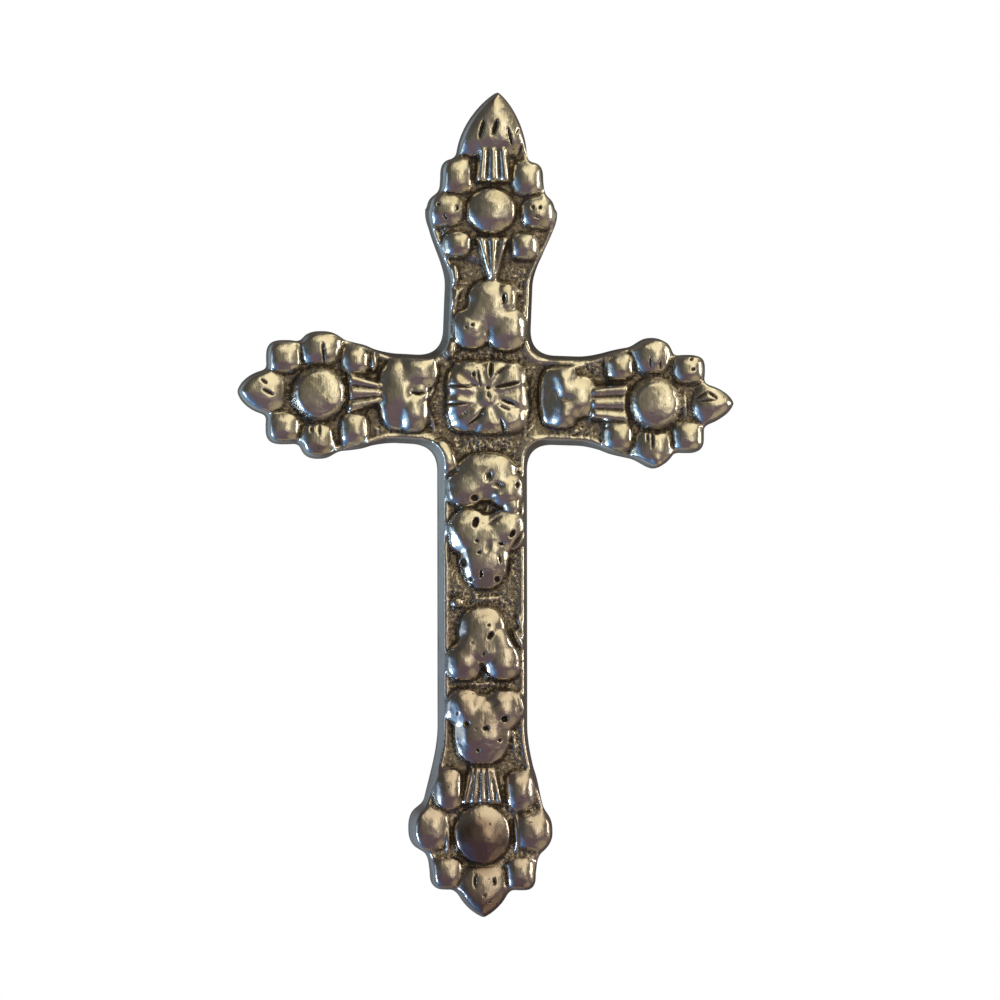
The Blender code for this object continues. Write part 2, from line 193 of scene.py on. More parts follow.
def blend_max(a, b, width):
    """The larger of two fields, with the crease between them filled over this width."""
    near = np.maximum(width - np.abs(a - b), 0.0)
    return np.maximum(a, b) + near * near / (4.0 * width)


def turned(x, z, at, heading):
    """The place (x, z) seen from a point at, as (out along the heading, side to its right)."""
    angle = math.radians(heading)
    dx, dz = x - at[0], z - at[1]
    out = dx * math.cos(angle) + dz * math.sin(angle)
    side = dx * math.sin(angle) - dz * math.cos(angle)
    return out, side


def inside_oval(out, side, oval, size):
    """How far inside an oval a point is, measured along the ray from its middle."""
    from_out = out / size - oval.out
    from_side = side / size - oval.side
    power = np.abs(from_out / oval.half_out) ** oval.squareness
    power = power + np.abs(from_side / oval.half_side) ** oval.squareness
    share = np.maximum(power ** (1.0 / oval.squareness), 1e-6)
    reach = np.maximum(np.hypot(from_out, from_side), 1e-6) / share
    return (1.0 - share) * reach * size


def inside_finial(out, side, rosette):
    """How far inside a rosette's pointed finial a point is."""
    finial = rosette.finial
    from_tip = rosette.tip[0] - out / rosette.size
    share = np.clip(from_tip / finial.length, 1e-4, 1.0)
    middle = finial.side + (rosette.tip[1] - finial.side) * (1.0 - share) ** 2
    profile = 1.0 - (1.0 - share) ** 2
    width = finial.half_width * profile**finial.pointed
    slope = finial.pointed * width / profile * 2.0 * (1.0 - share) / finial.length
    across = (width - np.abs(side / rosette.size - middle)) / np.sqrt(1.0 + slope * slope)
    return across * rosette.size


def arm_point(heading, out, side):
    """The point this far out along an arm and this far to its right, from the crossing."""
    angle = math.radians(heading)
    return (
        out * math.cos(angle) + side * math.sin(angle),
        out * math.sin(angle) - side * math.cos(angle),
    )


def dome_reach(rosette):
    return rosette.reach - rosette.tip[0] * rosette.size


def rosette_frame(x, z, rosette):
    dome_at = arm_point(rosette.heading, dome_reach(rosette), rosette.aside * rosette.size)
    return turned(x, z, dome_at, rosette.heading)


def inside_arm(x, z, rosette, half_width):
    """How far inside one arm a point is. The arm runs from the crossing to its dome."""
    out, side = rosette_frame(x, z, rosette)
    reach = dome_reach(rosette)
    flare = rosette.flare
    share = np.clip((out / rosette.size - flare.start) / (flare.end - flare.start), 0.0, 1.0)
    widening = share * share * (3.0 - 2.0 * share)
    middle = rosette.start * rosette.size * np.clip(-out / reach, 0.0, 1.0)
    width = half_width + (flare.half_width * rosette.size - half_width) * widening
    ends = np.minimum(-out, out + reach + ARM_OVERLAP)
    return np.minimum(width - np.abs(side - middle), ends)


def inside_outline(x, z):
    """How far inside the outline of the back a point is: 0 on the outline, less outside it."""
    upper, right, lower, left = ROSETTES
    upright = np.maximum(
        inside_arm(x, z, upper, UPPER_HALF), inside_arm(x, z, lower, LOWER_HALF)
    )
    beam = np.maximum(
        inside_arm(x, z, left, SIDE_HALF), inside_arm(x, z, right, SIDE_HALF)
    )
    inside = blend_max(upright, beam, CORNER_BLEND)
    for rosette in ROSETTES:
        out, side = rosette_frame(x, z, rosette)
        for petal in rosette.petals:
            lobe = inside_oval(out, side, petal, rosette.size)
            inside = blend_max(inside, lobe, LOBE_BLEND)
        bed = rosette.bed * rosette.size - np.hypot(out, side)
        inside = blend_max(inside, bed, LOBE_BLEND)
        point = np.minimum(inside_finial(out, side, rosette), out)
        inside = blend_max(inside, point, LOBE_BLEND)
    return inside


def inside_face(x, z):
    """How far inside the carved face's own edge a point is. The wall leans out from there."""
    from_dome = np.full_like(x, ARMS_START)
    for rosette in ROSETTES:
        out, side = rosette_frame(x, z, rosette)
        from_dome = np.minimum(from_dome, np.hypot(np.minimum(out, 0.0), side))
    share = np.clip((from_dome - ROSETTE_REACH) / (ARMS_START - ROSETTE_REACH), 0.0, 1.0)
    draft = ROSETTE_DRAFT + (ARM_DRAFT - ROSETTE_DRAFT) * share
    return inside_outline(x, z) - draft


# ---- The face's mesh ----
# The carved face starts as a fine flat grid, cut to the face's outline, with its rim moved onto
# the edge. Each of the next sections works out the height of the casting at the grid's points.

GRID_STEP = 0.5 * mm


def moved_to_edge(points, inside):
    """The points (x, z) moved square to an edge until they are on it. Inside is its field."""
    probe = 0.02 * mm
    for _ in range(8):
        x, z = points[:, 0], points[:, 1]
        here = inside(x, z)
        slope_x = (inside(x + probe, z) - here) / probe
        slope_z = (inside(x, z + probe) - here) / probe
        step = here / np.maximum(slope_x**2 + slope_z**2, 0.25)
        points = points - np.stack([slope_x * step, slope_z * step], axis=1)
    return points


def places(verts):
    return np.array([(v.co.x, v.co.z) for v in verts])


def put_on_edge(verts, inside):
    for vert, place in zip(verts, moved_to_edge(places(verts), inside)):
        vert.co.x, vert.co.z = place


half_wide = (LEFT_REACH + RIGHT_REACH) / 2 + GRID_STEP
half_tall = (TOP_REACH + FOOT_REACH) / 2 + GRID_STEP
middle_x = (RIGHT_REACH - LEFT_REACH) / 2
middle_z = (TOP_REACH - FOOT_REACH) / 2
size = Matrix.Diagonal((half_wide, half_tall, 1, 1))
middle = Matrix.Translation((middle_x, 0, middle_z))
upright = Matrix.Rotation(math.radians(90), 4, "X")
casting = bmesh.new()
patina_layer = casting.verts.layers.float.new("patina")
bmesh.ops.create_grid(
    casting,
    x_segments=round(2 * half_wide / GRID_STEP),
    y_segments=round(2 * half_tall / GRID_STEP),
    size=1,
    matrix=middle @ upright @ size,
)
centres = np.array([f.calc_center_median()[:] for f in casting.faces])
inside = inside_face(centres[:, 0], centres[:, 2])
outer = [f for f, d in zip(casting.faces, inside) if d < 0.0]
bmesh.ops.delete(casting, geom=outer, context="FACES")
for _ in range(8):
    put_on_edge([v for v in casting.verts if v.is_boundary], inside_face)
    near_rim = {v for v in casting.verts if v.is_boundary}
    for _ in range(4):
        near_rim |= {e.other_vert(v) for v in near_rim for e in v.link_edges}
    bmesh.ops.smooth_vert(
        casting, verts=list(near_rim), factor=0.5, use_axis_x=True, use_axis_z=True
    )
put_on_edge([v for v in casting.verts if v.is_boundary], inside_face)
casting.verts.index_update()
face = list(casting.verts)
x, z = places(face).T
room = inside_face(x, z)

edge_ends = np.array([(e.verts[0].index, e.verts[1].index) for e in casting.edges])
ends = np.concatenate([edge_ends[:, 0], edge_ends[:, 1]])
others = np.concatenate([edge_ends[:, 1], edge_ends[:, 0]])
neighbours = np.bincount(ends, minlength=len(x))


def blurred(values, times):
    """The values averaged with their neighbours on the mesh, this many times over."""
    for _ in range(times):
        values = (values + np.bincount(ends, values[others], len(x))) / (1 + neighbours)
    return values


# ---- The field ----
# Behind the carving lies a plain field, rough from the sand of the mould and never polished. It
# dips a little inside the face's rounded edge, which the polishing wheel has brightened.

FIELD_DEPTH = 10.0 * mm
EDGE_ROUND = 0.9 * mm
EDGE_DROP = 0.6 * mm
BORDER = 0.8 * mm
FIELD_DIP = 0.5 * mm

# The crust is swirling ridges with crumbs on them, and fine grains: how high, and how far apart
CRUST = 1.1 * mm
RIDGE_SHARE = 0.45
CRUMB_SHARE = 0.55
CRUST_SUNK = 0.6
GRAINS = 0.30 * mm
SWIRL = 1.0 * mm
SWIRL_APART = 5.0 * mm
RIDGES_APART = 4.2 * mm
CRUMBS_APART = 1.4 * mm
GRAINS_APART = 1.2 * mm

# The crust between its patches, and how far from a dome it starts, in shares of a rosette's size
THIN_CRUST = 0.15
CRUST_STARTS = 0.9
CRUST_GROWS_OVER = 0.2

# The crust's thickest patches: where each one is, and half its width and height, in millimetres
CRUST_PATCHES = (
    (-22.4, 13.8, 4.2, 4.7),
    (-14.4, 19, 3.6, 5.2),
    (-16.8, -21, 6.2, 8.8),
    (16, -0.2, 3.1, 18.7),
    (-23.2, -3.4, 4.2, 14.6),
    (37.2, 11, 10.4, 4.7),
    (35.2, -13, 7.3, 4.2),
    (10.8, -27, 5.2, 6.8),
    (-1.2, -43.4, 10.4, 4.2),
    (12.4, -64.2, 4.7, 13),
    (-14, -82.2, 4.2, 6.2),
    (-1.2, -80.2, 15.6, 5.2),
    (10.8, -96.2, 4.7, 15.6),
    (-1.2, -113.4, 18.2, 4.7),
    (10.4, -136.2, 4.2, 11.4),
    (-12.8, 43.8, 4.2, 16.6),
    (13.2, 39.8, 4.7, 15.6),
    (0.4, 15.8, 14.6, 4.2),
    (-1.2, -18.6, 12.5, 4.7),
    (-46, -11.4, 4.2, 7.3),
    (-47.2, 15, 3.1, 6.2),
    (41.2, 13.8, 5.2, 4.2),
    (42, -16.2, 6.2, 4.2),
    (5.2, -148.2, 13.5, 4.2),
    (-34.8, -16.2, 10.4, 3.6),
    (-32.8, 19, 10.4, 3.6),
)


def unevenness(x, z, scale, layer):
    """Smooth noise from -1 to 1, with bumps about this far apart. Each layer is another noise."""
    return np.array([noise.noise((a / scale, layer, b / scale)) for a, b in zip(x, z)])


rounding = 1.0 - np.clip(room / EDGE_ROUND, 0.0, 1.0)
base = FIELD_DEPTH - EDGE_DROP * rounding * rounding
dipped = np.clip((room - BORDER) / (2.5 * BORDER), 0.0, 1.0)
dipped = dipped * dipped * (3.0 - 2.0 * dipped)
swirl_x = x + SWIRL * unevenness(x, z, SWIRL_APART, 7.0)
swirl_z = z + SWIRL * unevenness(x, z, SWIRL_APART, 8.0)
ridges = 1.0 - np.abs(unevenness(swirl_x, swirl_z, RIDGES_APART, 1.0)) * 2.2
crumbs = 1.0 - np.abs(unevenness(swirl_x, swirl_z, CRUMBS_APART, 2.0)) * 2.2
from_dome = np.min([np.hypot(*rosette_frame(x, z, r)) / r.size for r in ROSETTES], axis=0)
thick = np.full_like(x, THIN_CRUST)
for at_x, at_z, patch_wide, patch_tall in CRUST_PATCHES:
    away = ((x / mm - at_x) / patch_wide) ** 2 + ((z / mm - at_z) / patch_tall) ** 2
    thick = np.maximum(thick, np.exp(-(away**2)))
crusty = thick * np.clip((from_dome - CRUST_STARTS) / CRUST_GROWS_OVER, 0.0, 1.0)
crust = CRUST * (RIDGE_SHARE * ridges + CRUMB_SHARE * crumbs - CRUST_SUNK) * crusty
grains = GRAINS * unevenness(x, z, GRAINS_APART, 5.0)
field = (crust + grains) * (0.2 + 0.8 * dipped) - FIELD_DIP * dipped

# ---- The rosettes ----
# Each rosette is cast with the rest: a round dome in a ring groove, six cushion petals, ridged
# fans where it meets the arm, and a leaf-like finial. The wheel has polished all but the grooves.

# The carving was set a little to the left of the outline's own forms
CARVING_SHIFT = 1.0 * mm
DOME_RISE = 6.0 * mm
BED_RISE = 1.3 * mm
PETAL_RISE = 4.4 * mm
PETAL_SPREAD = 0.7 * mm
PETAL_GAP = 0.7 * mm
GAP_DEPTH = 0.9 * mm
PETAL_EDGE = 0.7 * mm
FINIAL_RISE = 4.6 * mm
FINIAL_SHOULDER = 9.0 * mm
FINIAL_SPREAD = 1.4 * mm
FAN_RISE = 4.2 * mm
FAN_SHOULDER = 2.2 * mm
PETAL_SQUARENESS = 2.7

# How far a dome spreads at its foot, how far out its crowned top goes as a share of its radius,
# and how far the top falls away to there
Dome = namedtuple("Dome", "spread top crown")
DOMES = {
    90.0: Dome(spread=0.5 * mm, top=0.86, crown=2.4 * mm),
    0.0: Dome(spread=1.6 * mm, top=0.64, crown=0.9 * mm),
    -90.0: Dome(spread=1.0 * mm, top=0.92, crown=3.0 * mm),
    180.0: Dome(spread=1.6 * mm, top=0.71, crown=1.0 * mm),
}

# A dome whose top is smaller than this has a wide rough flank, which ends this far out
SMALL_TOP = 0.8
FLANK_END = 1.08
FLANK_GRAINS = 1.5


def raised(inside, rise, shoulder, fullness=2.0):
    """The height of a rounded form over its edge: it climbs over the shoulder, then levels out."""
    share = np.clip(inside / shoulder, 0.0, 1.0)
    return rise * (1.0 - (1.0 - share) ** fullness) ** 0.9


def groove(distance, half_width, depth):
    """A rounded groove: how deep it is at this distance from its middle line."""
    share = np.clip(np.abs(distance) / half_width, 0.0, 1.0)
    return depth * (1.0 - share * share) ** 2


def swell(out, side, oval, size, spread, squareness, fullness=2.2):
    """How full a cushion over an oval is: 1 in its middle, falling away to 0 at its edge."""
    grown = spread / size
    square = max(oval.squareness, squareness)
    power = np.abs((out / size - oval.out) / (oval.half_out + grown)) ** square
    power = power + np.abs((side / size - oval.side) / (oval.half_side + grown)) ** square
    return np.clip(1.0 - power ** (fullness / square), 0.0, 1.0)


def fan_relief(out, side, fan, size):
    """The height of a fan over the field: ridges side by side, drawn together at its far end."""
    way = math.copysign(1.0, fan.far - fan.near)
    along = (out / size - fan.near) * way
    length = abs(fan.far - fan.near)
    half = fan.near_half + (fan.far_half - fan.near_half) * along / length
    half = np.maximum(half, 0.02) * 1.25
    across = (side / size - fan.side) / half
    inside = np.minimum(half * (1.0 - np.abs(across)), np.minimum(along, length - along) + 0.04)
    ridge = np.abs(np.sin(0.5 * math.pi * fan.ridges * (across + 1.0))) ** 0.6
    return raised(inside * size, FAN_RISE, FAN_SHOULDER) * (0.5 + 0.5 * ridge)


def from_dome_middle(out, side, rosette):
    """How far out on a dome each point is: 0 in its middle and 1 at its foot."""
    oval = rosette.dome
    grown = DOMES[rosette.heading].spread / rosette.size
    return np.hypot(
        (out / rosette.size - oval.out) / (oval.half_out + grown),
        (side / rosette.size - oval.side) / (oval.half_side + grown),
    )


def dome_relief(out, side, rosette):
    """The height of a dome over the field: a gently crowned top, then a steep rough flank."""
    dome = DOMES[rosette.heading]
    from_middle = from_dome_middle(out, side, rosette)
    crown = DOME_RISE - dome.crown * (from_middle / dome.top) ** 2
    flank = np.clip((from_middle - dome.top) / (1.0 - dome.top), 0.0, 1.0)
    flank = flank**1.5
    return np.where(from_middle < 1.0, crown + (BED_RISE - 0.3 * mm - crown) * flank, -1.0)


def bed_relief(x, z, rosette, room):
    """The height of a rosette's bed over the field: the ground its petals stand on."""
    out, side = rosette_frame(x, z, rosette)
    inside = rosette.bed * rosette.size - np.hypot(out, side)
    return BED_RISE * np.clip(inside / (2.0 * mm), 0.0, 1.0) * raised(room, 1.0, PETAL_EDGE)


def rosette_relief(x, z, rosette, room):
    """The height of a rosette's carving over the field. Room is how far inside the face it is."""
    size = rosette.size
    out, side = rosette_frame(x, z, rosette)
    edge = raised(room, 1.0, PETAL_EDGE)
    base = out - (rosette.tip[0] - rosette.finial.base) * size
    point = -blend_max(-inside_finial(out, side, rosette), -base, FINIAL_BLEND)
    finial = raised(point + FINIAL_SPREAD, FINIAL_RISE, FINIAL_SHOULDER) * edge
    forms = [finial]
    for petal in rosette.petals:
        full = swell(out, side, petal, size, PETAL_SPREAD, PETAL_SQUARENESS)
        forms.append(PETAL_RISE * full**0.75 * edge)
    second, first = np.sort(forms, axis=0)[-2:]
    gap = groove(first - second, PETAL_GAP, GAP_DEPTH) * np.clip(second / (1.0 * mm), 0.0, 1.0)
    height = first - gap
    for fan in rosette.fans:
        height = np.maximum(height, fan_relief(out, side, fan, size))
    dome = dome_relief(out, side, rosette)
    return np.where(dome >= 0.0, dome, height)


carved_x = x + CARVING_SHIFT
relief = np.zeros_like(x)
beds = np.zeros_like(x)
flanks = np.zeros_like(x)
for rosette in ROSETTES:
    beds = np.maximum(beds, bed_relief(carved_x, z, rosette, room))
    relief = np.maximum(relief, rosette_relief(carved_x, z, rosette, room))
    away = from_dome_middle(*rosette_frame(carved_x, z, rosette), rosette)
    top = DOMES[rosette.heading].top
    if top < SMALL_TOP:
        flank_middle = (top + FLANK_END) / 2
        flank_half = (FLANK_END - top) / 2 * 1.2
        flanks = np.maximum(flanks, groove(away - flank_middle, flank_half, 1.0))

# ---- The tulips ----
# Seven tulips fill the arms, each a plump bulb with two lobes and a cleft between them. They are
# part of the casting and polished on top.

TULIP_SIZE = 18.0 * mm
TULIP_RISE = 4.6 * mm
TULIP_SPREAD = 0.5 * mm
TULIP_BLEND = 0.6

# A tulip. Along is how far out its bulb is on an arm, as a share of the way to the arm's dome, and
# its heading is the way its two lobes point, both in degrees from +X. All else is in shares of
# the tulips' size. The lobes are measured from the bulb: out along the heading, and side to its
# right.
Tulip = namedtuple("Tulip", "arm along aside heading bulb right_lobe left_lobe")

TULIPS = (
    Tulip(
        arm=90.0,
        along=0.496,
        aside=0.122,
        heading=-90.0,
        bulb=Oval(0, 0, 0.556, 0.467),
        right_lobe=Oval(0.511, 0.411, 0.422, 0.389),
        left_lobe=Oval(0.522, -0.367, 0.456, 0.422),
    ),
    Tulip(
        arm=180.0,
        along=0.517,
        aside=0.133,
        heading=0.0,
        bulb=Oval(0, 0, 0.378, 0.644),
        right_lobe=Oval(0.311, 0.433, 0.344, 0.4),
        left_lobe=Oval(0.433, -0.444, 0.422, 0.356),
    ),
    Tulip(
        arm=0.0,
        along=0.518,
        aside=-0.056,
        heading=180.0,
        bulb=Oval(-0.022, 0, 0.5, 0.444, 3.0),
        right_lobe=Oval(0.256, 0.322, 0.344, 0.322, 3.0),
        left_lobe=Oval(0.256, -0.344, 0.344, 0.322, 3.0),
    ),
    Tulip(
        arm=-90.0,
        along=0.179,
        aside=-0.033,
        heading=-90.0,
        bulb=Oval(0, 0, 0.511, 0.633),
        right_lobe=Oval(0.267, 0.467, 0.367, 0.378),
        left_lobe=Oval(0.278, -0.456, 0.378, 0.367),
    ),
    Tulip(
        arm=-90.0,
        along=0.350,
        aside=-0.022,
        heading=90.0,
        bulb=Oval(0, 0, 0.811, 0.5),
        right_lobe=Oval(0.467, 0.456, 0.433, 0.411),
        left_lobe=Oval(0.422, -0.356, 0.5, 0.422),
    ),
    Tulip(
        arm=-90.0,
        along=0.546,
        aside=0.044,
        heading=-90.0,
        bulb=Oval(0, 0, 0.644, 0.511, 2.5),
        right_lobe=Oval(0.567, 0.4, 0.389, 0.367),
        left_lobe=Oval(0.578, -0.456, 0.378, 0.378),
    ),
    Tulip(
        arm=-90.0,
        along=0.760,
        aside=0.044,
        heading=90.0,
        bulb=Oval(0, 0, 0.756, 0.6),
        right_lobe=Oval(0.456, 0.456, 0.422, 0.389),
        left_lobe=Oval(0.5, -0.389, 0.4, 0.367),
    ),
)


def tulip_relief(x, z, tulip):
    """The height of a tulip over the field: a bulb with two lobes and a cleft between them."""
    rosette = next(r for r in ROSETTES if r.heading == tulip.arm)
    along = tulip.along * dome_reach(rosette)
    at = arm_point(tulip.arm, along, tulip.aside * TULIP_SIZE)
    out, side = turned(x, z, at, tulip.heading)
    bulb = swell(out, side, tulip.bulb, TULIP_SIZE, TULIP_SPREAD, 2.0)
    right = swell(out, side, tulip.right_lobe, TULIP_SIZE, TULIP_SPREAD, 2.0)
    left = swell(out, side, tulip.left_lobe, TULIP_SIZE, TULIP_SPREAD, 2.0)
    right = blend_max(bulb, right, TULIP_BLEND) * (np.maximum(bulb, right) > 0.0)
    left = blend_max(bulb, left, TULIP_BLEND) * (np.maximum(bulb, left) > 0.0)
    return TULIP_RISE * np.minimum(np.maximum(right, left), 1.0) ** 0.6


for tulip in TULIPS:
    relief = np.maximum(relief, tulip_relief(carved_x, z, tulip))

# ---- The square flower ----
# A square flower fills the crossing. Soft valleys part its petals, and dark strokes were cut from
# its eye outwards in the pattern before it was cast.

FLOWER_AT = (1.2 * mm, 0.8 * mm)
FLOWER_SIZE = 17.0 * mm
FLOWER_RISE = 4.2 * mm
FLOWER_SHOULDER = 6.0 * mm
FLOWER_VALLEYS = (14, 62, 100, 140, 176, -150, -112, -66, -22)
FLOWER_VALLEY_DEPTH = 0.7 * mm
FLOWER_VALLEY_HALF = 2.8 * mm
FLOWER_EYE = 2.2 * mm

# The square flower's edge, round its middle, as shares of its size
FLOWER = Oval(0, 0, 0.906, 1, 4.0)


def flower_relief(x, z):
    """The height of the square flower over the field, with valleys that run out from its eye."""
    out, side = turned(x, z, FLOWER_AT, 90.0)
    inside = inside_oval(out, side, FLOWER, FLOWER_SIZE)
    height = raised(inside, FLOWER_RISE, FLOWER_SHOULDER)
    starts = np.clip((np.hypot(out, side) - FLOWER_EYE) / FLOWER_EYE, 0.0, 1.0)
    for heading in FLOWER_VALLEYS:
        ahead, across = turned(x, z, FLOWER_AT, heading)
        valley = groove(across, FLOWER_VALLEY_HALF, FLOWER_VALLEY_DEPTH) * starts
        height = height - np.where(ahead > 0.0, valley, 0.0)
    return np.maximum(height, 0.0)


relief = np.maximum(relief, flower_relief(carved_x, z))

# ---- The small forms ----
# Small lobes, folds and lumps stand round the tulips and the flower. They were modelled by hand, so
# no two are alike.

# A lobe: its middle, half its width and height, its turn to the left in degrees, and its rise over
# the field, in millimetres
LOBES = (
    (25.4, 0.8, 4.6, 12, 0, 4.5),
    (33.4, 0.2, 7.2, 7.6, 0, 4.4),
    (-26.8, 11, 4, 4.4, 0, 4.7),
    (-29.6, -3.8, 4, 6.8, -10, 4.6),
    (-35.6, 1.8, 8, 14.4, 0, 4.3),
    (-2.4, 35, 5.8, 12.4, -32, 4.4),
    (8.7, 29.8, 6.4, 6.4, 0, 4.4),
    (7.6, 40.2, 4.8, 6.8, 0, 4.3),
    (1.6, -30.6, 10.8, 9.6, 0, 4.5),
    (-12.6, -37.4, 3.4, 4.2, 0, 3.8),
    (10, -42.6, 3.8, 3.6, 0, 3.6),
    (4.8, -37.8, 3.2, 2.4, 0, 4.7),
    (-8, -51.4, 8, 5.6, 0, 4.5),
    (6.4, -52.2, 8, 6, 0, 4.5),
    (-1.2, -61.4, 10, 13.2, 0, 4.6),
    (-1.2, -92.6, 7.6, 8.8, 0, 4.5),
    (-1, -98.4, 9.6, 8, 0, 4.6),
    (-8.8, -102.8, 6.4, 7.4, -30, 4.4),
    (6.6, -102.6, 6.8, 7, 25, 4.5),
    (-6.4, -98.2, 5.6, 8, -25, 4.5),
    (5.2, -97.8, 5.6, 8, 25, 4.5),
    (-0.6, -127, 10.6, 6.6, 0, 4.6),
    (-0.6, -54.4, 11.2, 6, 0, 4.6),
    (-1.6, -131.4, 9.8, 13.6, 0, 4.6),
    (-8.4, -122.6, 6.8, 6, 0, 4.5),
    (6.4, -122.6, 6, 6, 0, 4.5),
    (12.6, -95.4, 1.3, 4.4, 25, 2.2),
    (13.2, -121.4, 2, 5.2, 15, 3),
    (-12.6, 49.8, 1.8, 4.4, 5, 1.9),
    (-12.4, 40.6, 1.6, 3.6, -20, 1.6),
    (-22.4, 14.6, 2.8, 4, 15, 2.6),
    (-14.4, 19.8, 2.4, 3.6, -20, 2),
    (-16.6, -22.6, 4.2, 7.4, 22, 2.7),
    (-45, 15, 1.6, 4.4, 0, 3.4),
    (-27.2, 2.8, 4.6, 6.8, 0, 3.7),
    (-11.6, -81, 2.8, 2.4, 0, 2),
    (67, -22.6, 3.6, 5.6, 38, 4.2),
)

# A fold: where it starts and ends, half its width and its rise, in millimetres
FOLDS = (
    (8.8, 48.2, 14.4, 41, 1.2, 1.4),
    (14, 40.2, 15.6, 32.6, 0.8, 0.9),
    (-15.2, 52.6, -10.8, 46.2, 0.9, 1),
    (-15.2, 35.8, -9.6, 39.8, 0.9, 1),
    (8.4, -23.4, 13.6, -29, 1.3, 1.4),
    (14.8, 13.4, 17.2, 1.8, 1.2, 1.3),
    (17.2, 1.8, 15.2, -14.6, 1.2, 1.3),
    (-20.4, 6.2, -23.6, -1.8, 1.2, 1.3),
    (-23.6, -1.8, -20.4, -13, 1.2, 1.2),
    (30, 11.8, 38.8, 13.4, 1.2, 1.3),
    (31.6, -14.6, 39.6, -11.4, 1, 1.1),
    (12.4, -85, 14.8, -96.2, 1, 1.2),
    (10, -129.8, 11.6, -141, 1, 1.1),
    (-6.8, -80.2, 6, -79, 1, 1),
    (-10, -113.4, 5.2, -113.8, 1, 0.9),
    (79, 4.4, 79.6, -8.6, 1.7, 2.8),
    (11.6, -163.4, 12.2, -182.6, 1.8, 3.2),
    (-19, -146.6, -19.8, -163, 1.4, 2.4),
    (-15.4, -167.2, -15.4, -181.2, 1.5, 3.8),
)


def from_form(x, z, middle_x, middle_z, half_wide, half_tall, turn):
    """How far each point is along and across from a small form's middle, where its edge is at 1."""
    along, across = turned(x, z, (middle_x * mm, middle_z * mm), 90.0 + turn)
    return along / (half_tall * mm), across / (half_wide * mm)


def lobe_relief(x, z, *form, rise):
    """The height of a small rounded lobe over the field."""
    along, across = from_form(x, z, *form)
    power = np.abs(along) ** 2.4 + np.abs(across) ** 2.4
    return rise * mm * np.clip(1.0 - power**1.2, 0.0, 1.0) ** 0.6


def stroke_depth(x, z, start_x, start_z, end_x, end_z, half_width, depth):
    """How deep a leaf-shaped stroke is at each point: widest and deepest in its middle."""
    run_x, run_z = end_x - start_x, end_z - start_z
    length = math.hypot(run_x, run_z)
    along = ((x - start_x) * run_x + (z - start_z) * run_z) / length**2
    across = ((x - start_x) * run_z - (z - start_z) * run_x) / length
    leaf = np.sqrt(np.clip(1.0 - (2.0 * along - 1.0) ** 2, 0.0, 1.0))
    return groove(across / np.maximum(leaf, 0.05), half_width, depth) * leaf


for *lobe, rise in LOBES:
    relief = np.maximum(relief, lobe_relief(x, z, *lobe, rise=rise))
for fold in FOLDS:
    relief = np.maximum(relief, stroke_depth(x, z, *[value * mm for value in fold]))
relief = blurred(np.maximum(relief, beds), 2)

# ---- Hand finishing ----
# The pattern was worked by hand, so the forms are uneven. Short leaf-shaped strokes were cut in
# the petals, the finials and the tulips, and the casting has small pinholes from trapped gas.

HAND_UNEVEN = 0.26 * mm
PIT_LIP = 0.08 * mm

# The unevenness: how far apart its bumps are, their share, and which noise they are
UNEVEN_BUMPS = ((9.0 * mm, 1.0, 3.0), (3.5 * mm, 0.36, 4.0), (1.8 * mm, 0.13, 6.0))

